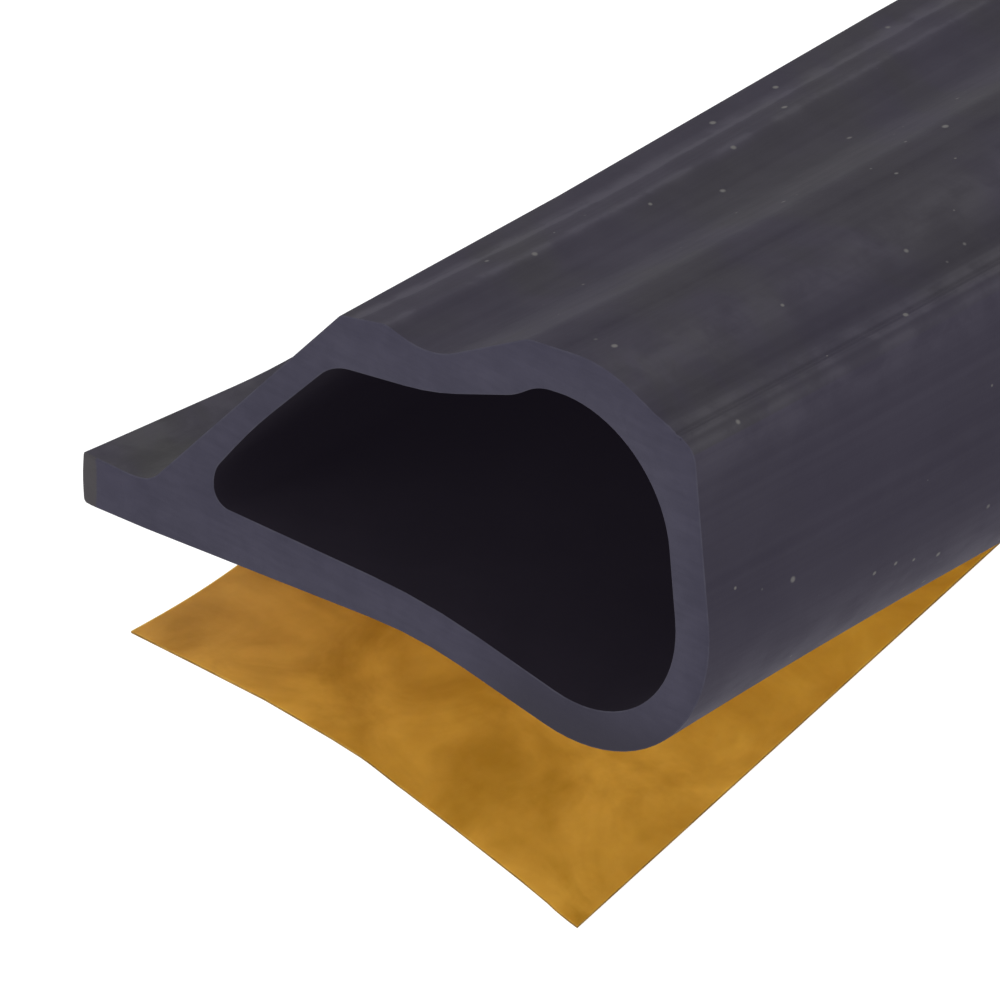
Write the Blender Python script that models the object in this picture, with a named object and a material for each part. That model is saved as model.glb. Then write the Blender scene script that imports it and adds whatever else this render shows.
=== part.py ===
"""Hollow silicone door seal with a self-adhesive base and a release liner that is peeled back at one end.

The section is drawn with x across, from the flange's tip, and z up, from the plane of the base's feet.
It is carried along y from the near cut end. The near end springs up from the floor, onto the corner of
the peeled liner, and the rest lies level. Both pieces are built straight and then carried onto one curve.
"""

import math

import bmesh
import bpy
from mathutils import Matrix, Vector

MM = 0.001

# Stock length, and the stretch of it that the peeled liner holds off the floor
SEAL_LENGTH = 1000 * MM
SPRUNG_LENGTH = 220 * MM
SPRUNG_STEPS = 14

# Base: two shallow slopes that meet in an arch
ARCH_RUN = 17.45 * MM
ARCH_RISE = 1.41 * MM
BASE_FALL = math.radians(9.8)

# Flange along the left edge, a little wider where it was cut
FLANGE_REACH = 2.25 * MM
FLANGE_THICKNESS = 2.5 * MM
FLARE_WIDTH = 1.0 * MM
FLARE_LENGTH = 8.5 * MM
FLARE_STEPS = 4

# Sloping left wall, up to the first ridge and the flat land on it
LEFT_WALL_ANGLE = math.radians(48.3)
FIRST_RIDGE_HEIGHT = 14.91 * MM
LAND_WIDTH = 2.4 * MM
LAND_PITCH = math.radians(14)

# Valley between the ridges, then the cheek that climbs to the second ridge
VALLEY_RUN = 2.55 * MM
VALLEY_DROP = 0.55 * MM
CHEEK_RUN = 5.4 * MM
CHEEK_PITCH = math.radians(30)

# Crown, shoulder and right wall
CROWN_RUN = 4.1 * MM
CROWN_RISE = 0.55 * MM
SHOULDER_RUN = 5.1 * MM
SHOULDER_DROP = 2.05 * MM
RIGHT_WALL_LEAN = math.radians(5.7)

# Fillets of the outer outline
TIP_RADIUS = 0.25 * MM
ARCH_RADIUS = 20 * MM
FOOT_RADIUS = 7.8 * MM
SHOULDER_RADIUS = 1.2 * MM
CROWN_RADIUS = 6 * MM
SECOND_RIDGE_RADIUS = 1.5 * MM
VALLEY_RADIUS = 4 * MM
LAND_RADIUS = 1 * MM
FIRST_RIDGE_RADIUS = 0.5 * MM
FLANGE_ROOT_RADIUS = 1 * MM

# Walls between the outer outline and the chamber
BASE_LEFT_WALL = 2.35 * MM
BASE_RIGHT_WALL = 1.85 * MM
RIGHT_WALL = 1.9 * MM
CROWN_WALL = 2.0 * MM
CHEEK_WALL = 2.0 * MM
LAND_WALL = 2.5 * MM
LEFT_WALL = 1.4 * MM

# Fillets of the chamber
CHAMBER_FOOT_RADIUS = 5.7 * MM
CHAMBER_CROWN_RADIUS = 5.5 * MM
CHAMBER_CHEEK_RADIUS = 2 * MM
CHAMBER_DIP_RADIUS = 4 * MM
CHAMBER_PEAK_RADIUS = 1.2 * MM
CHAMBER_NOSE_RADIUS = 1.3 * MM

# Release liner, under the base by the thickness of the adhesive
LINER_INSET = 1.45 * MM
LINER_WIDTH = 25 * MM
LINER_THICKNESS = 0.25 * MM
ADHESIVE_GAP = 0.3 * MM
LINER_COLUMNS = 10

# Peeled corner of the liner: how far it hangs at the cut end, and how far along it lets go
PEEL_DROP_LEFT = 4.8 * MM
PEEL_DROP_RIGHT = 8.3 * MM
PEEL_LENGTH_LEFT = 29 * MM
PEEL_LENGTH_RIGHT = 30 * MM
PEEL_STEPS = 14

# Share of a straight taper's length, on either side of its end, that its soft landing takes
LANDING = 0.15

# Facets of the round stretches
ARC_STEP = math.radians(12)
MIN_ARC_STEPS = 3
SIDE_SHARE = 0.98

SMOOTH_ANGLE = math.radians(35)


def clear_scene():
    """Remove whatever the file opened with."""
    for obj in list(bpy.data.objects):
        bpy.data.objects.remove(obj, do_unlink=True)


def make_material(name, colour, roughness):
    """Principled material with a plain colour."""
    material = bpy.data.materials.new(name)
    material.use_nodes = True
    shader = material.node_tree.nodes["Principled BSDF"]
    shader.inputs["Base Color"].default_value = (*colour, 1.0)
    shader.inputs["Roughness"].default_value = roughness
    shader.inputs["Metallic"].default_value = 0.0
    return material


def crossing(first, second):
    """Point where two lines meet. A line is a point on it and its direction."""
    (point, direction), (other_point, other_direction) = first, second
    turn = direction.x * other_direction.y - direction.y * other_direction.x
    apart = other_point - point
    along = (apart.x * other_direction.y - apart.y * other_direction.x) / turn
    return point + direction * along


def inward(start, end, wall):
    """The line of an outline's side, moved into the section by a wall."""
    direction = (end - start).normalized()
    normal = Vector((-direction.y, direction.x))
    return start + normal * wall, direction


def fillet_tangents(corners):
    """How far each corner's fillet reaches along its sides, limited where two fillets share a side."""
    count = len(corners)
    wanted = []
    for index, (corner, radius) in enumerate(corners):
        to_last = corners[index - 1][0] - corner
        to_next = corners[(index + 1) % count][0] - corner
        turn = math.pi - to_last.angle(to_next)
        wanted.append(radius * math.tan(turn / 2))
    limited = list(wanted)
    for index in range(count):
        after = (index + 1) % count
        side = (corners[after][0] - corners[index][0]).length * SIDE_SHARE
        share = min(1.0, side / (wanted[index] + wanted[after]))
        limited[index] = min(limited[index], wanted[index] * share)
        limited[after] = min(limited[after], wanted[after] * share)
    return limited


def rounded(corners):
    """Closed outline through corners, each a point and a radius, with a tangent arc at each corner."""
    outline = []
    for index, reach in enumerate(fillet_tangents(corners)):
        corner = corners[index][0]
        to_last = (corners[index - 1][0] - corner).normalized()
        to_next = (corners[(index + 1) % len(corners)][0] - corner).normalized()
        turn = math.pi - to_last.angle(to_next)
        centre = corner + (to_last + to_next).normalized() * reach / math.sin(turn / 2)
        spoke = corner + to_last * reach - centre
        leftward = to_next.x * to_last.y - to_next.y * to_last.x > 0
        steps = max(MIN_ARC_STEPS, math.ceil(turn / ARC_STEP))
        for step in range(steps + 1):
            swing = turn * step / steps
            outline.append(centre + Matrix.Rotation(swing if leftward else -swing, 2) @ spoke)
    return outline


def section_corners():
    """Corners of the outer outline before they are rounded, from the flange's tip, anticlockwise."""
    tip_bottom = Vector((0.0, 0.0))
    arch = Vector((ARCH_RUN, ARCH_RISE))
    flange_root = Vector((FLANGE_REACH, FLANGE_THICKNESS))
    wall_rise = FIRST_RIDGE_HEIGHT - FLANGE_THICKNESS
    first_ridge = flange_root + Vector((wall_rise / math.tan(LEFT_WALL_ANGLE), wall_rise))
    land_end = first_ridge + Vector((LAND_WIDTH, LAND_WIDTH * math.tan(LAND_PITCH)))
    valley = land_end + Vector((VALLEY_RUN, -VALLEY_DROP))
    second_ridge = valley + Vector((CHEEK_RUN, CHEEK_RUN * math.tan(CHEEK_PITCH)))
    crown = second_ridge + Vector((CROWN_RUN, CROWN_RISE))
    shoulder = crown + Vector((SHOULDER_RUN, -SHOULDER_DROP))
    down_right_wall = Vector((math.sin(RIGHT_WALL_LEAN), -math.cos(RIGHT_WALL_LEAN)))
    along_base = Vector((math.cos(BASE_FALL), -math.sin(BASE_FALL)))
    foot = crossing((arch, along_base), (shoulder, down_right_wall))
    tip_top = Vector((0.0, FLANGE_THICKNESS))
    return {
        "tip_bottom": (tip_bottom, TIP_RADIUS),
        "arch": (arch, ARCH_RADIUS),
        "foot": (foot, FOOT_RADIUS),
        "shoulder": (shoulder, SHOULDER_RADIUS),
        "crown": (crown, CROWN_RADIUS),
        "second_ridge": (second_ridge, SECOND_RIDGE_RADIUS),
        "valley": (valley, VALLEY_RADIUS),
        "land_end": (land_end, LAND_RADIUS),
        "first_ridge": (first_ridge, FIRST_RIDGE_RADIUS),
        "flange_root": (flange_root, FLANGE_ROOT_RADIUS),
        "tip_top": (tip_top, TIP_RADIUS),
    }


def chamber_corners(corners):
    """Corners of the chamber, where the outer sides meet once each is moved in by its wall."""
    point = {name: corner for name, (corner, radius) in corners.items()}
    base_left = inward(point["tip_bottom"], point["arch"], BASE_LEFT_WALL)
    base_right = inward(point["arch"], point["foot"], BASE_RIGHT_WALL)
    right = inward(point["foot"], point["shoulder"], RIGHT_WALL)
    crown = inward(point["crown"], point["second_ridge"], CROWN_WALL)
    cheek = inward(point["second_ridge"], point["valley"], CHEEK_WALL)
    land = inward(point["land_end"], point["first_ridge"], LAND_WALL)
    left = inward(point["first_ridge"], point["flange_root"], LEFT_WALL)
    return [
        (crossing(base_left, base_right), ARCH_RADIUS),
        (crossing(base_right, right), CHAMBER_FOOT_RADIUS),
        (crossing(right, crown), CHAMBER_CROWN_RADIUS),
        (crossing(crown, cheek), CHAMBER_CHEEK_RADIUS),
        (crossing(cheek, land), CHAMBER_DIP_RADIUS),
        (crossing(land, left), CHAMBER_PEAK_RADIUS),
        (crossing(left, base_left), CHAMBER_NOSE_RADIUS),
    ]


def underside_height(outline, x):
    """Height of the section's underside at x, from the outline's run along its base."""
    for start, end in zip(outline, outline[1:]):
        if start.x <= x < end.x:
            return start.y + (end.y - start.y) * (x - start.x) / (end.x - start.x)
    return 0.0


def liner_outline(section):
    """Section of the liner, which follows the base at the adhesive's thickness."""
    top = []
    for column in range(LINER_COLUMNS + 1):
        x = LINER_INSET + LINER_WIDTH * column / LINER_COLUMNS
        top.append(Vector((x, underside_height(section, x) - ADHESIVE_GAP)))
    bottom = [point - Vector((0.0, LINER_THICKNESS)) for point in top]
    return bottom + top[::-1]


def sprung_stations(first):
    """Places along y from a first one to the end of the sprung stretch, then the far end."""
    run = SPRUNG_LENGTH - first
    steps = [first + run * step / SPRUNG_STEPS for step in range(SPRUNG_STEPS + 1)]
    return steps + [SEAL_LENGTH]


def eased(t):
    """Fall from 1 to 0 that starts and ends level."""
    t = min(max(t, 0.0), 1.0)
    return 1 - t ** 3 * (10 - 15 * t + 6 * t * t)


def straight_fall(t):
    """Straight fall from 1 to 0 that lands in a short curve."""
    if t < 1 - LANDING:
        return 1 - t
    left = max(1 + LANDING - t, 0.0)
    return left * left / (4 * LANDING)


def flared(point):
    """Widen the flange towards the near cut."""
    share = (FLANGE_REACH - point.x) / FLANGE_REACH
    if share <= 0:
        return point
    reach = FLARE_WIDTH * min(share, 1.0) * straight_fall(point.y / FLARE_LENGTH)
    return point - Vector((reach, 0.0, 0.0))


def peeled(point):
    """Let the liner hang from the base at the near end, further at the right edge than at the left."""
    across = (point.x - LINER_INSET) / LINER_WIDTH
    drop = PEEL_DROP_LEFT + (PEEL_DROP_RIGHT - PEEL_DROP_LEFT) * across
    t = point.y / (PEEL_LENGTH_LEFT + (PEEL_LENGTH_RIGHT - PEEL_LENGTH_LEFT) * across)
    fall = eased(t) * (1 - across) + straight_fall(t) * across
    return point - Vector((0.0, 0.0, drop * fall))


def sprung(point):
    """Carry a point of the straight seal onto the curve of its sprung end.

    The curve is that of a heavy elastic strip held up at its tip. The tip rises by as much as the
    liner's right corner hangs, so that corner just touches the floor.
    """
    left = max(1 - point.y / SPRUNG_LENGTH, 0.0)
    lift = PEEL_DROP_RIGHT * (2 * left ** 3 - left ** 4)
    slope = PEEL_DROP_RIGHT / SPRUNG_LENGTH * (6 * left ** 2 - 4 * left ** 3)
    pitch = math.atan(slope)
    return Vector((point.x, point.y + point.z * math.sin(pitch), lift + point.z * math.cos(pitch)))


def extrude_section(name, outlines, stations, shapes, material):
    """Extrude a section, its outer outline and its holes, through the stations and shape the result."""
    mesh_edit = bmesh.new()
    rims = []
    for outline in outlines:
        corners = [mesh_edit.verts.new((point.x, stations[0], point.y)) for point in outline]
        for index in range(len(corners)):
            rims.append(mesh_edit.edges.new((corners[index - 1], corners[index])))
    bmesh.ops.triangle_fill(mesh_edit, edges=rims, use_beauty=True)
    cap = mesh_edit.verts[:] + mesh_edit.edges[:] + mesh_edit.faces[:]
    for near, far in zip(stations, stations[1:]):
        cap = bmesh.ops.extrude_face_region(mesh_edit, geom=cap)["geom"]
        moved = [item for item in cap if isinstance(item, bmesh.types.BMVert)]
        bmesh.ops.translate(mesh_edit, verts=moved, vec=(0.0, far - near, 0.0))
    for vert in mesh_edit.verts:
        for shape in shapes:
            vert.co = shape(vert.co)
    bmesh.ops.recalc_face_normals(mesh_edit, faces=mesh_edit.faces)
    mesh = bpy.data.meshes.new(name)
    mesh_edit.to_mesh(mesh)
    mesh_edit.free()
    mesh.materials.append(material)
    mesh.shade_smooth()
    mesh.set_sharp_from_angle(angle=SMOOTH_ANGLE)
    obj = bpy.data.objects.new(name, mesh)
    bpy.context.scene.collection.objects.link(obj)
    return obj


def make_seal_profile(section, corners):
    """The hollow extrusion, open at both cut ends."""
    rubber = make_material("seal_rubber", (0.061, 0.056, 0.072), 0.55)
    chamber = rounded(chamber_corners(corners))
    landed = FLARE_LENGTH * (1 + LANDING)
    flare = [landed * step / FLARE_STEPS for step in range(FLARE_STEPS)]
    stations = flare + sprung_stations(landed)
    return extrude_section("seal_profile", [section, chamber], stations, [flared, sprung], rubber)


def make_release_liner(section):
    """The paper liner on the adhesive, hanging from the base at the near end."""
    paper = make_material("liner_paper", (0.376, 0.181, 0.021), 0.45)
    landed = max(PEEL_LENGTH_LEFT, PEEL_LENGTH_RIGHT) * (1 + LANDING)
    peel = [landed * step / PEEL_STEPS for step in range(PEEL_STEPS)]
    stations = peel + sprung_stations(landed)
    return extrude_section("release_liner", [liner_outline(section)], stations, [peeled, sprung], paper)


def centre_on_floor(objects):
    """Put the middle of the footprint at the origin, with the lowest point on the floor."""
    points = [vert.co for obj in objects for vert in obj.data.vertices]
    low = [min(point[axis] for point in points) for axis in range(3)]
    high = [max(point[axis] for point in points) for axis in range(3)]
    shift = Vector(((low[0] + high[0]) / -2, (low[1] + high[1]) / -2, -low[2]))
    for obj in objects:
        obj.data.transform(Matrix.Translation(shift))


def main():
    clear_scene()
    corners = section_corners()
    section = rounded(list(corners.values()))
    centre_on_floor([make_seal_profile(section, corners), make_release_liner(section)])


main()
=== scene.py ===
"""Looks of the hollow door seal: rubber skin, knife cut, dark chamber, peeled paper liner and adhesive.

The section is drawn in millimetres, x across from the flange's steady tip and z up from the plane of the
base's feet. It is carried along y from the near cut, and rest_place() bends it onto the frame's curve.
"""

import math

import bmesh
import bpy
from mathutils import Matrix, Vector


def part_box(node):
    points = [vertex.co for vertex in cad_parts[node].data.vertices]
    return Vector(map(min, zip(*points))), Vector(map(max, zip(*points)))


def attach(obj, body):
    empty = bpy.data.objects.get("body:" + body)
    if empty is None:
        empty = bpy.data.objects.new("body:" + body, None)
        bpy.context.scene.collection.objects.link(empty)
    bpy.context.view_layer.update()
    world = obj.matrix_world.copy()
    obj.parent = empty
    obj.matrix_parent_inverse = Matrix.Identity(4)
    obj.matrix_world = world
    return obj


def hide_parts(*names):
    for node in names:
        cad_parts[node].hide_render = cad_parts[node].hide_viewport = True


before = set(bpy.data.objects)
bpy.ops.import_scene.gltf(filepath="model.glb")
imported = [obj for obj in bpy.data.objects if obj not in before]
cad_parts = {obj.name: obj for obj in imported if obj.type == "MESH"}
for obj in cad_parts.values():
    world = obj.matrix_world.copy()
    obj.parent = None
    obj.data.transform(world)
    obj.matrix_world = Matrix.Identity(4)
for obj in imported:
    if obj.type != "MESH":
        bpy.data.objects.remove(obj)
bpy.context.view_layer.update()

MM = 0.001

# Stock length and the curve of its sprung near end
SEAL_LENGTH = 1000 * MM
SPRUNG_LENGTH = 220 * MM
END_LIFT = 8.3 * MM

# The solid's box against the section: its left side beyond x = 0, and its lowest point above z = 0
PACKED_FLARE = 1.0 * MM
SECTION_FOOT = 0.0218 * MM

# Outer outline, anticlockwise from the flange's lower corner: x, z and the fillet's reach along its sides
OUTER_CORNERS = [
    (-0.29, 0.0, 0.2),
    (17.45, 1.41, 2.53),
    (34.668, -1.564, 10.258),
    (32.857, 16.576, 0.62),
    (27.757, 18.626, 1.582),
    (23.657, 18.076, 0.296),
    (18.257, 14.958, 1.542),
    (15.707, 15.508, 0.232),
    (13.235, 14.915, 0.154),
    (2.42, 2.47, 0.9),
    (-0.29, 2.44, 0.25),
    (-0.37, 1.22, 0.6),
]

# Chamber outline, in the same way
CHAMBER_CORNERS = [
    (17.9, 3.3, 3.0),
    (32.534, 0.682, 7.496),
    (30.902, 17.03, 5.689),
    (24.2, 16.05, 0.7),
    (22.9, 15.1, 0.5),
    (18.3, 13.28, 1.5),
    (12.766, 12.35, 1.0),
    (8.3, 7.5, 1.6),
    (6.1, 4.6, 0.6),
    (6.1, 3.02, 0.85),
]

# Die lines on the right shoulder, the side after this corner: how far along it, how wide, and how high
# or deep. Their fillets reach this share of a line's width.
DIE_LINE_CORNER = 3
DIE_LINE_FILLET = 1 / 8
DIE_LINES = [
    (0.8, 0.2, 0.045),
    (1.08, 0.22, -0.05),
    (1.5, 0.34, 0.045),
    (2.42, 1.0, -0.045),
]

# The flange widens towards the near cut, and its tip is rounded back there
FLANGE_TIP = OUTER_CORNERS[0][0] * MM
FLANGE_REACH = 2.25 * MM
FLARE_WIDTH = 1.05 * MM
FLARE_LENGTH = 9.5 * MM
TIP_ROUND = 0.12 * MM
TIP_ROUND_WIDTH = 0.6 * MM
TIP_ROUND_LENGTH = 1.0 * MM

# Where the near end is sprung the hollow section gives way, wholly so until GIVEN_WAY_UNTIL. Behind the
# cut it leans to the right and its left wall spreads: x and the shift to the right. Its foot tucks in.
GIVEN_WAY_UNTIL = 45 * MM
LEAN = [(13.35, 0.0), (13.75, 0.85), (15.7, 0.68), (23.7, 0.6), (28.5, 0.35), (32.9, 0.25)]
LEAN_LENGTH = 18 * MM
SPREAD = [(5.0, 0.0), (11.0, -0.35), (13.35, -0.5), (13.75, -0.25), (16.0, -0.22), (23.7, 0.0)]
SPREAD_FROM = 13 * MM
SPREAD_LENGTH = 21 * MM
RIDGE_HEIGHT = 14.9 * MM
FOOT_TUCK = 0.26 * MM
FOOT_EDGE = 27 * MM
FOOT_BLEND = 4 * MM
FOOT_HEIGHT = 8 * MM
FOOT_FULLNESS = 1.4

# Painted highlights and painted shade along the skin, standing in for light on its rounded ridges and shade
# in its hollows: middle, half width, and how much paler or darker than SKIN_TONE.
# On top the middle is measured by x. On the right wall and round the foot it is measured by height.
# TOP_PURPLE is how purple the ridges and the crown are, where the wall is 1 and the flange's underside 0.
SKIN_TONE = 0.55
TOP_HIGHLIGHTS_AND_SHADE = [
    (0.0, 3.5, 0.22),
    (14.05, 0.3, 0.9),
    (15.7, 0.32, 0.42),
    (23.65, 0.6, 0.02),
    (25.4, 1.3, -0.2),
    (28.6, 1.7, 0.22),
    (30.8, 0.75, -0.17),
    (31.6, 0.4, 0.3),
    (32.2, 0.2, 0.38),
    (32.65, 0.25, 0.34),
]
# On the wall the low pale band is partly dust and partly painted light reflected from the floor, the middle
# one is painted shade and the top one a painted highlight below the shoulder
WALL_HIGHLIGHTS_SHADE_AND_DUST = [(0.0, 7.0, 0.34), (10.5, 5.5, -0.12), (16.3, 1.6, 0.16)]
WALL_EDGE = 32.8 * MM
TOP_PURPLE = 0.45
FOOT_START = 19 * MM
FOOT_SHADE = 4.5 * MM

# Facets of the round and straight stretches of an outline, and the angle at which shading breaks
ARC_STEP = math.radians(5)
LEAST_ARC_STEPS = 3
STRAIGHT_STEP = 0.25 * MM
SMOOTH_ANGLE = math.radians(35)

# The fill drops tiny edges, so the section is this much larger while it is filled
FILL_SCALE = 1000

# Slightly softened edges of the two cuts
CUT_EDGE = 0.1 * MM
CUT_EDGE_DEPTH = 0.06 * MM

# Stations along the seal: close ones near the cut, wider ones over the sprung stretch
CUT_STRETCH = 16 * MM
CUT_STATIONS = 16
SPRUNG_STATIONS = 25
LINER_STATIONS = 60
FILM_STATIONS = 12

# Release liner, the space that the adhesive fills above it, and the film that stays on the base
BASE_TOP = 2 * MM
LINER_INSET = 1.45 * MM
LINER_WIDTH = 25 * MM
LINER_THICKNESS = 0.1 * MM
LINER_DEPTH = 0.51 * MM
STRIP_COLUMNS = 60
FILM_INSET = 0.15 * MM
FILM_RECESS = 0.3 * MM
FILM_SKIN = 0.01 * MM
FILM_PEELED = 0.1 * MM

# Peeled corner of the liner. LANDING is the share of a straight fall that its curve at the end takes.
PEEL_LENGTH_LEFT = 29 * MM
PEEL_LENGTH_RIGHT = 30 * MM
LANDING = 0.15
PEEL_END = max(PEEL_LENGTH_LEFT, PEEL_LENGTH_RIGHT) * (1 + LANDING)

# How far the free edge hangs below the base, from its left corner to its right one: share and drop
FRONT_DROPS = [
    (0.0, 4.74),
    (0.15, 5.07),
    (0.3, 5.43),
    (0.45, 6.02),
    (0.52, 6.37),
    (0.6, 6.95),
    (0.67, 7.28),
    (0.74, 7.47),
    (0.8, 7.59),
    (0.87, 7.73),
    (0.93, 7.90),
    (1.0, 8.34),
]

# Painted shade darkens the liner at its free end, the more so towards the right corner
FREE_END_SHADE = 1.6
FREE_END_LENGTH = 13 * MM

# Slots of the rubber's and the liner's materials
SKIN_SLOT, CUT_SLOT, CHAMBER_SLOT = 0, 1, 2
FACE_SLOT, EDGE_SLOT = 0, 1

# Colours of the rubber. A pair is the darkest and the palest tone.
SKIN_PURPLE = ((0.0165, 0.0132, 0.0268, 1.0), (0.0560, 0.0503, 0.0720, 1.0))
SKIN_GREY = ((0.0190, 0.0175, 0.0200, 1.0), (0.0580, 0.0560, 0.0590, 1.0))
DUST = (0.125, 0.12, 0.12, 1.0)
CUT_FACE = ((0.0295, 0.0275, 0.0440, 1.0), (0.0415, 0.0385, 0.0590, 1.0))
# Painted shade on the cut round the bottom of the foot
CUT_FOOT_SHADE = (0.0235, 0.0215, 0.0320, 1.0)
# Painted highlight along the cut's softened rim
CUT_RIM_HIGHLIGHT = (0.050, 0.048, 0.066, 1.0)
# The chamber's rubber is painted near-black as painted shade, and a faint even painted glow keeps that shade
# flat
CHAMBER_SHADED_WALL = ((0.008, 0.0064, 0.0094, 1.0), (0.010, 0.008, 0.0116, 1.0))
CHAMBER_PAINTED_GLOW = (0.0054, 0.0043, 0.0070, 1.0)

# Skin wraps the flange's tip at the near cut: its colour, and where it ends in the frame's x
WRAPPED_SKIN = (0.044, 0.0405, 0.0445, 1.0)
WRAP_END = (-16.9 * MM, -16.76 * MM)

# Colours of the liner and the adhesive
PAPER_FACE = ((0.232, 0.125, 0.010, 1.0), (0.56, 0.330, 0.068, 1.0))
PAPER_EDGE = ((0.16, 0.085, 0.016, 1.0), (0.30, 0.17, 0.035, 1.0))
ADHESIVE = ((0.028, 0.027, 0.031, 1.0), (0.042, 0.041, 0.046, 1.0))

# Range that most of a noise's values lie in
NOISE_RANGE = (0.3, 0.7)

# Marks of the blade on the cut: how they slant, how fine they are across, and their depth
BLADE_SLANT = (0.0, math.radians(35), 0.0)
BLADE_SCALE = (1.0, 1.0, 9.0)
BLADE_DEPTH = 6e-6

# Share of a speck's radius that is fully covered with dust
SPECK_CORE = 0.4

# Camera against the near end's own directions, with a long lens because the photo has no perspective
CAMERA_AZIMUTH = math.radians(43.09)
CAMERA_ELEVATION = math.radians(31.26)
CAMERA_LENS = 1700
CAMERA_SENSOR = 36
CAMERA_CLIP = (0.01, 100.0)
VIEW_WIDTH = 40.542 * MM
VIEW_CENTRE = Vector((22.147, 0.0, 9.846)) * MM

# Pale floor with an even glow of its own, and its white surroundings
WHITE = (1.0, 1.0, 1.0, 1.0)
FLOOR_GREY = (0.2, 0.2, 0.2, 1.0)
FLOOR_GLOW = 0.97
FLOOR_RADIUS = 25.0
FLOOR_SIDES = 96
SURROUNDINGS = 0.8

# Lights: name, azimuth and elevation of where they stand, strength, and how wide they are
LIGHTS = [
    ("front", -8, 24, 1.3, 50),
    ("overhead", 180, 80, 0.5, 60),
]


def evenly(first, last, count):
    """Evenly spaced numbers from first to last, both included."""
    return [first + (last - first) * step / count for step in range(count + 1)]


def limited(value):
    """A value kept between 0 and 1."""
    return min(max(value, 0.0), 1.0)


def eased(t):
    """Fall from 1 to 0 that starts and ends level."""
    t = limited(t)
    return 1 - t ** 3 * (10 - 15 * t + 6 * t * t)


def straight_fall(t):
    """Straight fall from 1 to 0 that lands in a short curve."""
    if t < 1 - LANDING:
        return 1 - t
    left = max(1 + LANDING - t, 0.0)
    return left * left / (4 * LANDING)


def looked_up(table, place):
    """Value at a place in a table of places and values, straight between its rows."""
    for (low, first), (high, last) in zip(table, table[1:]):
        if place < high:
            return first + (last - first) * max((place - low) / (high - low), 0.0)
    return table[-1][1]


def frame_shift():
    """From the section's origin to the frame's, read from the seal's own box."""
    low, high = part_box("seal_profile")
    return Vector((low.x + PACKED_FLARE, high.y - SEAL_LENGTH, low.z - SECTION_FOOT))


def end_pitch(y):
    """How far the seal tips up at y."""
    left = max(1 - y / SPRUNG_LENGTH, 0.0)
    return math.atan(END_LIFT / SPRUNG_LENGTH * (6 * left ** 2 - 4 * left ** 3))


def rest_place(point):
    """Carry a point of the straight seal to its place at rest, on the sprung curve."""
    left = max(1 - point.y / SPRUNG_LENGTH, 0.0)
    lift = END_LIFT * (2 * left ** 3 - left ** 4)
    pitch = end_pitch(point.y)
    bent = Vector((point.x, point.y + point.z * math.sin(pitch), lift + point.z * math.cos(pitch)))
    return bent + SHIFT


def settled(point):
    """Lean, spread and tuck of the hollow section where the seal is sprung."""
    kept = eased((point.y - GIVEN_WAY_UNTIL) / (SPRUNG_LENGTH - GIVEN_WAY_UNTIL))
    leant = 1 - (1 - min(point.y / LEAN_LENGTH, 1.0)) ** 2
    apart = limited((point.y - SPREAD_FROM) / SPREAD_LENGTH)
    lean = looked_up(LEAN, point.x / MM) * leant + looked_up(SPREAD, point.x / MM) * apart
    outer = limited((point.x - FOOT_EDGE) / FOOT_BLEND)
    foot = FOOT_TUCK * outer * limited((1 - point.z / FOOT_HEIGHT) * FOOT_FULLNESS) * leant
    height = limited(point.z / RIDGE_HEIGHT)
    return point + Vector((lean * MM * height - foot, 0.0, foot)) * kept


def flared(point):
    """Widen the flange towards the near cut, and round its tip back there."""
    share = limited(1 - point.x / FLANGE_REACH)
    flare = FLARE_WIDTH * share * straight_fall(point.y / FLARE_LENGTH)
    outer = limited(1 - (point.x - FLANGE_TIP) / TIP_ROUND_WIDTH)
    back = TIP_ROUND * outer ** 2 * max(1 - point.y / TIP_ROUND_LENGTH, 0.0)
    return point + Vector((-flare, back, 0.0))


def peeled(point):
    """Let the liner hang from the base at the near end, further at the right edge than at the left."""
    across = limited((point.x - LINER_INSET) / LINER_WIDTH)
    drop = looked_up(FRONT_DROPS, across) * MM
    t = point.y / (PEEL_LENGTH_LEFT + (PEEL_LENGTH_RIGHT - PEEL_LENGTH_LEFT) * across)
    fall = eased(t) * (1 - across) + straight_fall(t) * across
    return point - Vector((0.0, 0.0, drop * fall))


def with_die_lines(corners):
    """The outline's corners with three more for each die line: its two feet and its crest."""
    start, end = (Vector(corner[:2]) for corner in corners[DIE_LINE_CORNER:DIE_LINE_CORNER + 2])
    along = (end - start).normalized()
    outward = Vector((along.y, -along.x))
    added = []
    for distance, width, height in DIE_LINES:
        middle = start + along * distance
        for place, rise in ((-width / 2, 0.0), (0.0, height), (width / 2, 0.0)):
            spot = middle + along * place + outward * rise
            added.append((spot.x, spot.y, width * DIE_LINE_FILLET))
    return corners[:DIE_LINE_CORNER + 1] + added + corners[DIE_LINE_CORNER + 1:]


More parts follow.
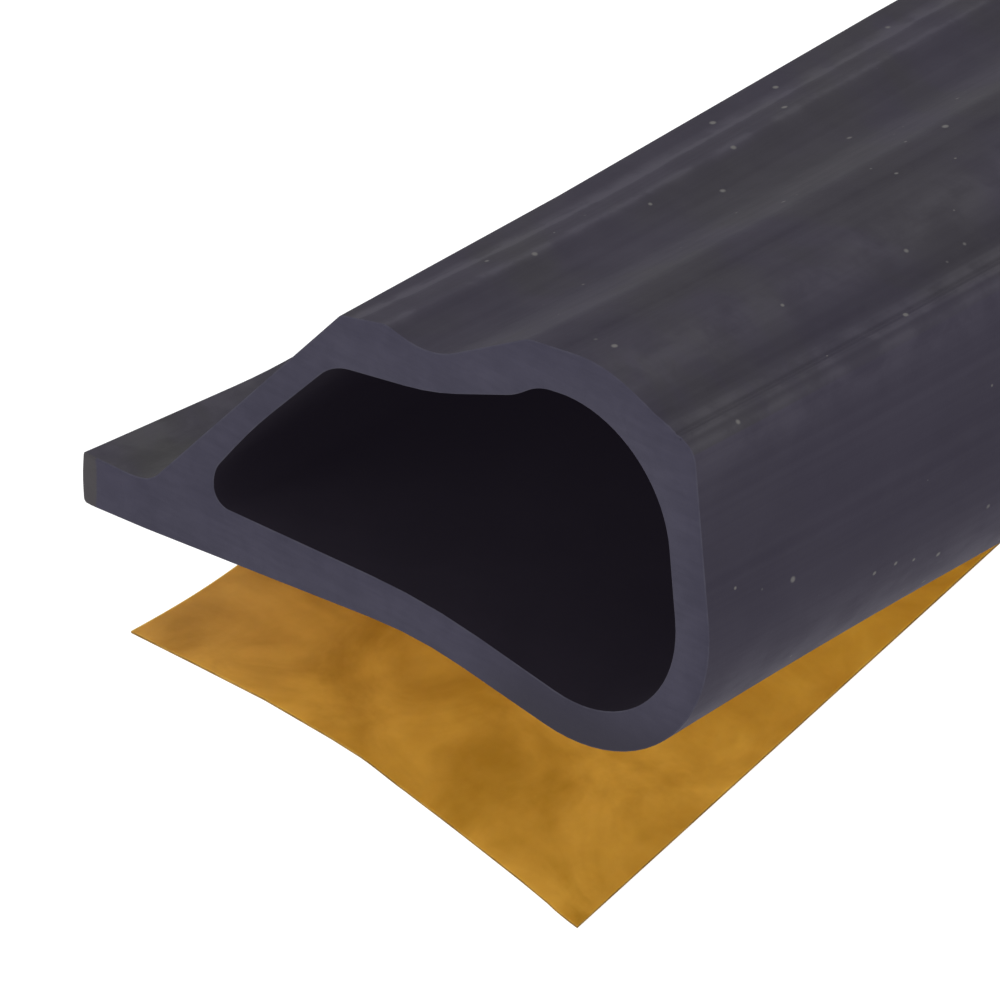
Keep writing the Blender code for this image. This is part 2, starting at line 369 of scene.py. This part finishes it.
def rounded_rim(mesh_edit, corners):
    """Closed rim of edges through corners, each rounded by a vertex spun about its fillet's centre."""
    places = [Vector((x, 0.0, z)) * MM for x, z, reach in corners]
    arcs = []
    for index, corner in enumerate(places):
        reach = corners[index][2] * MM
        to_last = (places[index - 1] - corner).normalized()
        to_next = (places[(index + 1) % len(places)] - corner).normalized()
        turn = math.pi - to_last.angle(to_next)
        centre = corner + (to_last + to_next).normalized() * reach / math.sin(turn / 2)
        start = mesh_edit.verts.new(corner + to_last * reach)
        before = len(mesh_edit.verts)
        bmesh.ops.spin(
            mesh_edit,
            geom=[start],
            cent=centre,
            axis=to_next.cross(to_last),
            dvec=(0.0, 0.0, 0.0),
            angle=turn,
            space=Matrix.Identity(4),
            steps=max(LEAST_ARC_STEPS, math.ceil(turn / ARC_STEP)),
        )
        arcs.append([start] + list(mesh_edit.verts)[before:])
    rim = []
    for arc, after in zip(arcs, arcs[1:] + arcs[:1]):
        side = after[0].co - arc[-1].co
        steps = int(side.length / STRAIGHT_STEP)
        for step in range(steps):
            added = bmesh.ops.extrude_vert_indiv(mesh_edit, verts=arc[-1:])["verts"]
            bmesh.ops.translate(mesh_edit, verts=added, vec=side / (steps + 1))
            arc += added
        mesh_edit.edges.new((arc[-1], after[0]))
        rim += arc
    return rim


def fill_section(mesh_edit):
    """Fill the section between its two rims."""
    bmesh.ops.scale(mesh_edit, verts=mesh_edit.verts, vec=(FILL_SCALE, FILL_SCALE, FILL_SCALE))
    bmesh.ops.triangle_fill(mesh_edit, edges=mesh_edit.edges[:], use_beauty=True)
    bmesh.ops.scale(mesh_edit, verts=mesh_edit.verts, vec=(1 / FILL_SCALE, 1 / FILL_SCALE, 1 / FILL_SCALE))
    bmesh.ops.recalc_face_normals(mesh_edit, faces=mesh_edit.faces)


def sprung_stations(first):
    """Stations past the first one, to the end of the sprung stretch."""
    return evenly(first, SPRUNG_LENGTH, SPRUNG_STATIONS)[1:]


def extrude_along(mesh_edit, cap, stations):
    """Extrude a cap that lies at y = 0 through the stations, and give the far cap's vertices."""
    moved = [item for item in cap if isinstance(item, bmesh.types.BMVert)]
    bmesh.ops.translate(mesh_edit, verts=moved, vec=(0.0, stations[0], 0.0))
    for near, far in zip(stations, stations[1:]):
        cap = bmesh.ops.extrude_face_region(mesh_edit, geom=cap)["geom"]
        moved = [item for item in cap if isinstance(item, bmesh.types.BMVert)]
        bmesh.ops.translate(mesh_edit, verts=moved, vec=(0.0, far - near, 0.0))
    return moved


def finished(name, mesh_edit, materials):
    """A smooth object from a bmesh whose faces already have their material's number."""
    bmesh.ops.recalc_face_normals(mesh_edit, faces=mesh_edit.faces)
    mesh = bpy.data.meshes.new(name)
    mesh_edit.to_mesh(mesh)
    mesh_edit.free()
    for material in materials:
        mesh.materials.append(material)
    mesh.shade_smooth()
    mesh.set_sharp_from_angle(angle=SMOOTH_ANGLE)
    piece = bpy.data.objects.new(name, mesh)
    bpy.context.scene.collection.objects.link(piece)
    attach(piece, "root")
    return piece


def skin_marks(spot):
    """Tone of painted highlights and shade on the skin at a rim's vertex, how much it is the purple wall,
    and how much painted shade falls on the cut near the foot's bottom.
    """
    on_wall = spot.x > WALL_EDGE or (spot.z < FOOT_SHADE and spot.x > FOOT_START)
    if on_wall:
        bands, place, wall = WALL_HIGHLIGHTS_SHADE_AND_DUST, spot.z / MM, 1.0
    else:
        bands, place, wall = TOP_HIGHLIGHTS_AND_SHADE, spot.x / MM, TOP_PURPLE * limited(spot.z / RIDGE_HEIGHT)
    rises = [rise * max(1 - abs(place - middle) / half, 0.0) for middle, half, rise in bands]
    foot = max(1 - spot.z / FOOT_SHADE, 0.0) * limited((spot.x - FOOT_START) / FOOT_SHADE)
    return SKIN_TONE + sum(rises), wall, foot


def make_rubber(skin, cut, chamber):
    """The extrusion with its die lines, its two cut ends and its chamber."""
    mesh_edit = bmesh.new()
    names = ("across", "along", "inside", "rim", "tone", "wall", "foot")
    layers = [mesh_edit.verts.layers.float.new(name) for name in names]
    across, along, inside, rim, tone, wall, foot = layers
    outer = rounded_rim(mesh_edit, with_die_lines(OUTER_CORNERS))
    inner = rounded_rim(mesh_edit, CHAMBER_CORNERS)
    for outline in (outer, inner):
        length = 0.0
        for index, vert in enumerate(outline):
            length += (vert.co - outline[max(index - 1, 0)].co).length
            vert[across] = length
            vert[inside] = float(outline is inner)
            vert[rim] = 1.0
            vert[tone], vert[wall], vert[foot] = skin_marks(vert.co)
    fill_section(mesh_edit)
    middle = mesh_edit.faces[:]
    ring = bmesh.ops.inset_region(
        mesh_edit, faces=middle, thickness=CUT_EDGE, use_boundary=True, use_even_offset=False
    )["faces"]
    for face in middle:
        for vert in face.verts:
            vert[rim] = 0.0
    for face in middle + ring:
        face.material_index = CUT_SLOT
    near = [vert for vert in mesh_edit.verts if vert[rim] < 0.5]
    cap = mesh_edit.verts[:] + mesh_edit.edges[:] + mesh_edit.faces[:]
    stations = evenly(CUT_EDGE_DEPTH, CUT_STRETCH, CUT_STATIONS) + sprung_stations(CUT_STRETCH)
    far = extrude_along(mesh_edit, cap, stations + [SEAL_LENGTH - CUT_EDGE_DEPTH])
    far = [vert for vert in far if vert[rim] < 0.5]
    for verts, step in ((near, -CUT_EDGE_DEPTH), (far, CUT_EDGE_DEPTH)):
        bmesh.ops.translate(mesh_edit, verts=verts, vec=(0.0, step, 0.0))
    for face in mesh_edit.faces:
        ends = [vert.co.y for vert in face.verts]
        if max(ends) - min(ends) > 2 * CUT_EDGE_DEPTH:
            within = all(vert[inside] > 0.5 for vert in face.verts)
            face.material_index = CHAMBER_SLOT if within else SKIN_SLOT
    for vert in mesh_edit.verts:
        vert[along] = vert.co.y
        vert.co = rest_place(flared(settled(vert.co)))
    return finished("rubber_profile", mesh_edit, [skin, cut, chamber])


def base_line():
    """The underside of the outer outline, from the flange to the foot, as (x, z)."""
    mesh_edit = bmesh.new()
    line = [(vert.co.x, vert.co.z) for vert in rounded_rim(mesh_edit, OUTER_CORNERS)]
    mesh_edit.free()
    return sorted((x, z) for x, z in line if z < BASE_TOP and x >= 0)


def base_height(x):
    """Height of the base's underside at x."""
    for (near_x, near_z), (far_x, far_z) in zip(BASE_LINE, BASE_LINE[1:]):
        if near_x <= x < far_x:
            return near_z + (far_z - near_z) * (x - near_x) / (far_x - near_x)
    return 0.0


def strip_cap(mesh_edit, left, width, top, bottom):
    """Thin end face that follows the base, from top to bottom below it, with its lower edge marked."""
    lower = mesh_edit.verts.layers.float.new("lower")
    bmesh.ops.create_grid(mesh_edit, x_segments=STRIP_COLUMNS, y_segments=1, size=0.5)
    for vert in mesh_edit.verts:
        x = left + width * (vert.co.x + 0.5)
        vert[lower] = float(vert.co.y < 0)
        vert.co = Vector((x, 0.0, base_height(x) - (bottom if vert[lower] else top)))
    return lower, mesh_edit.verts[:] + mesh_edit.edges[:] + mesh_edit.faces[:]


def make_liner(face_paper, edge_paper):
    """The paper liner, on the adhesive along the seal and hanging free at the near end."""
    mesh_edit = bmesh.new()
    tone = mesh_edit.verts.layers.float.new("tone")
    top = LINER_DEPTH - LINER_THICKNESS
    lower, cap = strip_cap(mesh_edit, LINER_INSET, LINER_WIDTH, top, LINER_DEPTH)
    stations = evenly(0.0, PEEL_END, LINER_STATIONS) + sprung_stations(PEEL_END)
    extrude_along(mesh_edit, cap, stations + [SEAL_LENGTH])
    for vert in mesh_edit.verts:
        # The tone rises from left to right as painted shade of the seal over the liner's left part, and
        # painted shade darkens the free end
        share = (vert.co.x - LINER_INSET) / LINER_WIDTH
        vert[tone] = share - FREE_END_SHADE * share ** 3 * eased(vert.co.y / FREE_END_LENGTH)
        vert.co = rest_place(peeled(vert.co))
    for face in mesh_edit.faces:
        marks = [vert[lower] for vert in face.verts]
        face.material_index = EDGE_SLOT if max(marks) > min(marks) else FACE_SLOT
    return finished("paper_liner", mesh_edit, [face_paper, edge_paper])


def make_film(adhesive):
    """The adhesive film that stays on the base, thin where the liner has let go of it."""
    mesh_edit = bmesh.new()
    full = LINER_DEPTH - LINER_THICKNESS - FILM_SKIN
    left = LINER_INSET + FILM_INSET
    lower, cap = strip_cap(mesh_edit, left, LINER_WIDTH - 2 * FILM_INSET, FILM_SKIN, full)
    stations = evenly(FILM_RECESS, PEEL_END, FILM_STATIONS) + sprung_stations(PEEL_END)
    extrude_along(mesh_edit, cap, stations + [SEAL_LENGTH - FILM_RECESS])
    for vert in mesh_edit.verts:
        share = vert[lower] * eased(vert.co.y / PEEL_END)
        vert.co = rest_place(vert.co + Vector((0.0, 0.0, share * (full - FILM_PEELED))))
    return finished("adhesive_film", mesh_edit, [adhesive])


def feed(tree, socket, value):
    """Link a socket's value, or set it where it is a plain one."""
    if isinstance(value, bpy.types.NodeSocket):
        tree.links.new(value, socket)
    else:
        socket.default_value = value


def add_node(tree, kind, inputs=None, **settings):
    """A node with its settings made and its sockets fed."""
    made = tree.nodes.new(kind)
    for name, value in settings.items():
        setattr(made, name, value)
    for name, value in (inputs or {}).items():
        feed(tree, made.inputs[name], value)
    return made


def maths(tree, operation, *values):
    """Result of a maths node."""
    made = add_node(tree, "ShaderNodeMath", operation=operation)
    for socket, value in zip(made.inputs, values):
        feed(tree, socket, value)
    return made.outputs["Value"]


def swing(tree, value, amount):
    """How far a value from 0 to 1 stands from its middle, times an amount."""
    return maths(tree, "MULTIPLY", maths(tree, "SUBTRACT", value, 0.5), amount)


def weighed(tree, *parts):
    """Sum of values, each times its weight."""
    shares = [maths(tree, "MULTIPLY", value, weight) for value, weight in parts]
    total = shares[0]
    for share in shares[1:]:
        total = maths(tree, "ADD", total, share)
    return total


def remapped(tree, value, after, before=(0.0, 1.0)):
    """A value carried smoothly from the range before to the range after."""
    inputs = {
        "Value": value,
        "From Min": before[0],
        "From Max": before[1],
        "To Min": after[0],
        "To Max": after[1],
    }
    return add_node(tree, "ShaderNodeMapRange", inputs, interpolation_type="SMOOTHSTEP").outputs["Result"]


def blended(tree, share, first, second):
    """Colour between two colours."""
    made = add_node(tree, "ShaderNodeMix", data_type="RGBA")
    colours = [socket for socket in made.inputs if socket.type == "RGBA"]
    feed(tree, made.inputs["Factor"], share)
    feed(tree, colours[0], first)
    feed(tree, colours[1], second)
    return next(socket for socket in made.outputs if socket.type == "RGBA")


def attribute(tree, name):
    """A value that the mesh carries at its vertices."""
    return add_node(tree, "ShaderNodeAttribute", attribute_name=name).outputs["Fac"]


def object_place(tree):
    """Place on the piece, in Object coordinates."""
    return add_node(tree, "ShaderNodeTexCoord").outputs["Object"]


def noise(tree, vector, scale, detail, roughness, distortion=0.0):
    """Even noise, most of it within NOISE_RANGE."""
    inputs = {
        "Vector": vector,
        "Scale": scale,
        "Detail": detail,
        "Roughness": roughness,
        "Distortion": distortion,
    }
    return add_node(tree, "ShaderNodeTexNoise", inputs).outputs["Fac"]


def new_group(name, inputs, outputs):
    """Empty shader node group. An input without a value takes a vector, and all else is a number."""
    tree = bpy.data.node_groups.new(name, "ShaderNodeTree")
    for socket_name, value in inputs.items():
        kind = "NodeSocketVector" if value is None else "NodeSocketFloat"
        socket = tree.interface.new_socket(name=socket_name, in_out="INPUT", socket_type=kind)
        if value is not None:
            socket.default_value = value
    for socket_name in outputs:
        tree.interface.new_socket(name=socket_name, in_out="OUTPUT", socket_type="NodeSocketFloat")
    return tree, tree.nodes.new("NodeGroupInput").outputs, tree.nodes.new("NodeGroupOutput").inputs


def grain_group():
    """Fine even roughness of a surface: its height in metres."""
    inputs = {"Vector": None, "Scale": 4000.0, "Depth": 4e-6}
    tree, given, result = new_group("grain", inputs, ["Height"])
    fine = noise(tree, given["Vector"], given["Scale"], detail=5.0, roughness=0.6)
    feed(tree, result["Height"], swing(tree, fine, given["Depth"]))
    return tree


def mottle_group():
    """Soft patches of lighter and darker tone, from 0 to 1."""
    inputs = {"Vector": None, "Scale": 100.0, "Distortion": 0.5}
    tree, given, result = new_group("mottle", inputs, ["Tone"])
    soft = noise(tree, given["Vector"], given["Scale"], 4.0, 0.55, given["Distortion"])
    feed(tree, result["Tone"], remapped(tree, soft, (0.0, 1.0), before=NOISE_RANGE))
    return tree


def streaks_group():
    """Streaks that the die leaves along the seal: their height in metres and their tone from 0 to 1."""
    inputs = {"Pitch": 0.4 * MM, "Run": 40 * MM, "Depth": 4e-6}
    tree, given, result = new_group("streaks", inputs, ["Height", "Tone"])
    place = {
        "X": maths(tree, "DIVIDE", attribute(tree, "across"), given["Pitch"]),
        "Y": maths(tree, "DIVIDE", attribute(tree, "along"), given["Run"]),
    }
    vector = add_node(tree, "ShaderNodeCombineXYZ", place).outputs["Vector"]
    streak = noise(tree, vector, scale=1.0, detail=4.0, roughness=0.6)
    feed(tree, result["Height"], swing(tree, streak, given["Depth"]))
    feed(tree, result["Tone"], remapped(tree, streak, (0.0, 1.0), before=NOISE_RANGE))
    return tree


def specks_group():
    """Tiny scattered specks of dust, as a mask."""
    inputs = {"Vector": None, "Spacing": 1.2 * MM, "Size": 0.05, "Share": 0.2}
    tree, given, result = new_group("specks", inputs, ["Mask"])
    scale = maths(tree, "DIVIDE", 1.0, given["Spacing"])
    cells = add_node(tree, "ShaderNodeTexVoronoi", {"Vector": given["Vector"], "Scale": scale}, feature="F1")
    pick = add_node(tree, "ShaderNodeSeparateColor", {"Color": cells.outputs["Color"]})
    size = maths(tree, "MULTIPLY", pick.outputs["Green"], given["Size"])
    core = maths(tree, "MULTIPLY", size, SPECK_CORE)
    near = remapped(tree, cells.outputs["Distance"], (1.0, 0.0), before=(core, size))
    kept = maths(tree, "LESS_THAN", pick.outputs["Red"], given["Share"])
    feed(tree, result["Mask"], maths(tree, "MULTIPLY", near, kept))
    return tree


def grouped(tree, name, **inputs):
    """A shared group placed in a material with its own values."""
    return add_node(tree, "ShaderNodeGroup", inputs, node_tree=GROUPS[name]).outputs


def mottled(tree, place, scale, distortion):
    """Tone of soft patches, from 0 to 1."""
    return grouped(tree, "mottle", Vector=place, Scale=scale, Distortion=distortion)["Tone"]


def grained(tree, place, scale, depth):
    """Height of fine grain in metres."""
    return grouped(tree, "grain", Vector=place, Scale=scale, Depth=depth)["Height"]


def new_material(name, values):
    """Principled material with these values on its shader, its node tree and its shader."""
    material = bpy.data.materials.new(name)
    material.use_nodes = True
    shader = material.node_tree.nodes["Principled BSDF"]
    for socket_name, value in values.items():
        shader.inputs[socket_name].default_value = value
    return material, material.node_tree, shader


def raise_surface(tree, shader, height):
    """Bump from a height in metres."""
    bump = add_node(tree, "ShaderNodeBump", {"Height": height, "Distance": 1.0})
    feed(tree, shader.inputs["Normal"], bump.outputs["Normal"])


def rubber_skin():
    """Moulded outside of the rubber: charcoal, with die streaks, soft patches, a little dust, and bands of
    painted highlights and painted shade along it.
    """
    material, tree, shader = new_material("rubber_skin", {"Roughness": 0.8, "Specular IOR Level": 0.12})
    place = object_place(tree)
    streaks = grouped(tree, "streaks", Pitch=0.45 * MM, Run=45 * MM, Depth=4.5e-6)
    mottle = mottled(tree, place, scale=260.0, distortion=0.4)
    rubbed = mottled(tree, place, scale=520.0, distortion=0.3)
    patches = mottled(tree, place, scale=90.0, distortion=0.8)

    # The bands of painted highlights and painted shade are broken up by the rubbed patches, and finer
    # changes of tone come on top
    # The tone attribute carries the painted highlights and painted shade of the bands
    painted_light_band = maths(tree, "SUBTRACT", attribute(tree, "tone"), SKIN_TONE)
    broken = maths(tree, "MULTIPLY", painted_light_band, remapped(tree, rubbed, (0.5, 1.5)))
    fine = weighed(tree, (streaks["Tone"], 0.6), (mottle, 0.4))
    varied = maths(tree, "ADD", swing(tree, fine, 0.17), swing(tree, rubbed, 0.09))
    tone = maths(tree, "ADD", maths(tree, "ADD", broken, SKIN_TONE), varied)

    # The flange is the greyest, in patches. The top is less so, and the right wall is purple.
    patchy = remapped(tree, patches, (0.4, 1.0), before=(0.2, 0.8))
    greyer = maths(tree, "MULTIPLY", patchy, remapped(tree, attribute(tree, "wall"), (1.0, 0.1)))
    colour = blended(tree, greyer, blended(tree, tone, *SKIN_PURPLE), blended(tree, tone, *SKIN_GREY))
    specks = grouped(tree, "specks", Vector=place, Spacing=1.3 * MM, Size=0.15, Share=0.55)
    feed(tree, shader.inputs["Base Color"], blended(tree, specks["Mask"], colour, DUST))
    feed(tree, shader.inputs["Roughness"], remapped(tree, tone, (0.84, 0.74)))
    grain = grained(tree, place, scale=5200.0, depth=1.1e-5)
    raise_surface(tree, shader, maths(tree, "ADD", streaks["Height"], grain))
    return material


def rubber_cut():
    """Knife cut through the rubber: an even face with faint marks of the blade, and a patchy painted
    highlight along its softened rim.
    """
    material, tree, shader = new_material("rubber_cut", {"Roughness": 0.85, "Specular IOR Level": 0.15})
    place = object_place(tree)
    slant = {"Vector": place, "Rotation": BLADE_SLANT, "Scale": BLADE_SCALE}
    slanted = add_node(tree, "ShaderNodeMapping", slant).outputs["Vector"]
    marks = mottled(tree, slanted, scale=420.0, distortion=0.2)
    mottle = mottled(tree, place, scale=900.0, distortion=0.6)
    patches = mottled(tree, place, scale=170.0, distortion=0.5)
    face = blended(tree, weighed(tree, (marks, 0.3), (mottle, 0.35), (patches, 0.35)), *CUT_FACE)
    # Painted shade on the cut near the bottom of the round foot
    face = blended(tree, remapped(tree, attribute(tree, "foot"), (0.0, 1.0)), face, CUT_FOOT_SHADE)
    # Painted highlight where the softened rim of the cut would catch the light, patchy along it
    rim = remapped(tree, attribute(tree, "rim"), (0.0, 1.0), before=(0.25, 0.8))
    uneven = maths(tree, "MULTIPLY", rim, remapped(tree, mottle, (0.25, 0.8)))
    face = blended(tree, uneven, face, CUT_RIM_HIGHLIGHT)
    side = add_node(tree, "ShaderNodeSeparateXYZ", {"Vector": place}).outputs["X"]
    wrapped = remapped(tree, side, (1.0, 0.0), before=WRAP_END)
    feed(tree, shader.inputs["Base Color"], blended(tree, wrapped, face, WRAPPED_SKIN))
    blade = maths(tree, "MULTIPLY", marks, BLADE_DEPTH)
    grain = grained(tree, place, scale=4200.0, depth=1.4e-5)
    raise_surface(tree, shader, maths(tree, "ADD", blade, grain))
    return material


def shaded_chamber_skin():
    """Inside of the chamber: rubber painted near-black as painted shade, with a very faint even painted
    glow.
    """
    values = {
        "Roughness": 0.85,
        "Specular IOR Level": 0.08,
        "Emission Color": CHAMBER_PAINTED_GLOW,
        "Emission Strength": 1.0,
    }
    material, tree, shader = new_material("shaded_chamber_skin", values)
    place = object_place(tree)
    mottle = mottled(tree, place, scale=300.0, distortion=0.3)
    feed(tree, shader.inputs["Base Color"], blended(tree, mottle, *CHAMBER_SHADED_WALL))
    raise_surface(tree, shader, grained(tree, place, scale=3000.0, depth=6e-6))
    return material


def liner_face():
    """Golden-brown coated paper, cloudy from its fibres, with painted shade towards its left side and at its
    free end.
    """
    values = {
        "Roughness": 0.5,
        "Specular IOR Level": 0.15,
        "Subsurface Weight": 0.7,
        "Subsurface Radius": (1.0, 0.75, 0.4),
        "Subsurface Scale": 0.6 * MM,
    }
    material, tree, shader = new_material("liner_face", values)
    place = object_place(tree)
    clouds = mottled(tree, place, scale=180.0, distortion=0.9)
    flecks = mottled(tree, place, scale=620.0, distortion=0.2)
    # The tone attribute carries the painted shade of the liner's left side and free end
    tone = weighed(tree, (clouds, 0.5), (flecks, 0.14), (attribute(tree, "tone"), 0.5))
    feed(tree, shader.inputs["Base Color"], blended(tree, tone, *PAPER_FACE))
    feed(tree, shader.inputs["Roughness"], remapped(tree, tone, (0.54, 0.46)))
    raise_surface(tree, shader, grained(tree, place, scale=2600.0, depth=8e-6))
    return material


def liner_edge():
    """Cut edge of the paper, browner and duller than its face."""
    material, tree, shader = new_material("liner_edge", {"Roughness": 0.8, "Specular IOR Level": 0.1})
    fibres = mottled(tree, object_place(tree), scale=900.0, distortion=0.3)
    feed(tree, shader.inputs["Base Color"], blended(tree, fibres, *PAPER_EDGE))
    return material


def adhesive_film():
    """Tacky dark film with a wet look."""
    material, tree, shader = new_material("adhesive_film", {"Roughness": 0.3, "Specular IOR Level": 0.5})
    place = object_place(tree)
    mottle = mottled(tree, place, scale=400.0, distortion=0.4)
    feed(tree, shader.inputs["Base Color"], blended(tree, mottle, *ADHESIVE))
    raise_surface(tree, shader, grained(tree, place, scale=1800.0, depth=8e-6))
    return material


def pale_floor():
    """Matt pale floor with an even glow."""
    values = {
        "Base Color": FLOOR_GREY,
        "Roughness": 0.9,
        "Specular IOR Level": 0.1,
        "Emission Color": WHITE,
        "Emission Strength": FLOOR_GLOW,
    }
    return new_material("pale_floor", values)[0]


def make_floor():
    """Plain pale floor that the seal lies on."""
    mesh_edit = bmesh.new()
    bmesh.ops.create_circle(mesh_edit, cap_ends=True, segments=FLOOR_SIDES, radius=FLOOR_RADIUS)
    mesh = bpy.data.meshes.new("floor")
    mesh_edit.to_mesh(mesh)
    mesh_edit.free()
    mesh.materials.append(pale_floor())
    floor = bpy.data.objects.new("floor", mesh)
    bpy.context.scene.collection.objects.link(floor)


def make_lights():
    """White surroundings, a broad soft light from the front and a weaker one from overhead."""
    world = bpy.data.worlds.new("studio")
    world.use_nodes = True
    background = world.node_tree.nodes["Background"]
    background.inputs["Color"].default_value = WHITE
    background.inputs["Strength"].default_value = SURROUNDINGS
    bpy.context.scene.world = world
    for name, azimuth, elevation, strength, softness in LIGHTS:
        light = bpy.data.lights.new(name, "SUN")
        light.energy = strength
        light.angle = math.radians(softness)
        lamp = bpy.data.objects.new(name, light)
        a, e = math.radians(azimuth), math.radians(elevation)
        back = Vector((math.sin(a) * math.cos(e), -math.cos(a) * math.cos(e), math.sin(e)))
        lamp.rotation_euler = (-back).to_track_quat("-Z", "Y").to_euler()
        bpy.context.scene.collection.objects.link(lamp)


def make_camera():
    """Camera with the photo's framing, turned with the near end so that its section stands upright."""
    a, e = CAMERA_AZIMUTH, CAMERA_ELEVATION
    right = Vector((math.cos(a), math.sin(a), 0.0))
    up = Vector((-math.sin(a) * math.sin(e), math.cos(a) * math.sin(e), math.cos(e)))
    tip = Matrix.Rotation(-end_pitch(0.0), 3, "X")
    right, up = tip @ right, tip @ up
    back = right.cross(up)
    camera_data = bpy.data.cameras.new("photo_camera")
    camera_data.lens = CAMERA_LENS
    camera_data.sensor_width = CAMERA_SENSOR
    camera_data.clip_start, camera_data.clip_end = CAMERA_CLIP
    camera = bpy.data.objects.new("photo_camera", camera_data)
    distance = VIEW_WIDTH * CAMERA_LENS / CAMERA_SENSOR
    turned = Matrix((right, up, back)).transposed().to_4x4()
    camera.matrix_world = Matrix.Translation(rest_place(VIEW_CENTRE) + back * distance) @ turned
    bpy.context.scene.collection.objects.link(camera)
    bpy.context.scene.camera = camera


SHIFT = frame_shift()
BASE_LINE = base_line()
GROUPS = {
    "grain": grain_group(),
    "mottle": mottle_group(),
    "streaks": streaks_group(),
    "specks": specks_group(),
}

rubber = make_rubber(rubber_skin(), rubber_cut(), shaded_chamber_skin())
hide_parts("seal_profile")

liner = make_liner(liner_face(), liner_edge())
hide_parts("release_liner")

make_film(adhesive_film())

make_floor()
make_lights()
make_camera()
bpy.context.scene.view_settings.view_transform = "Standard"
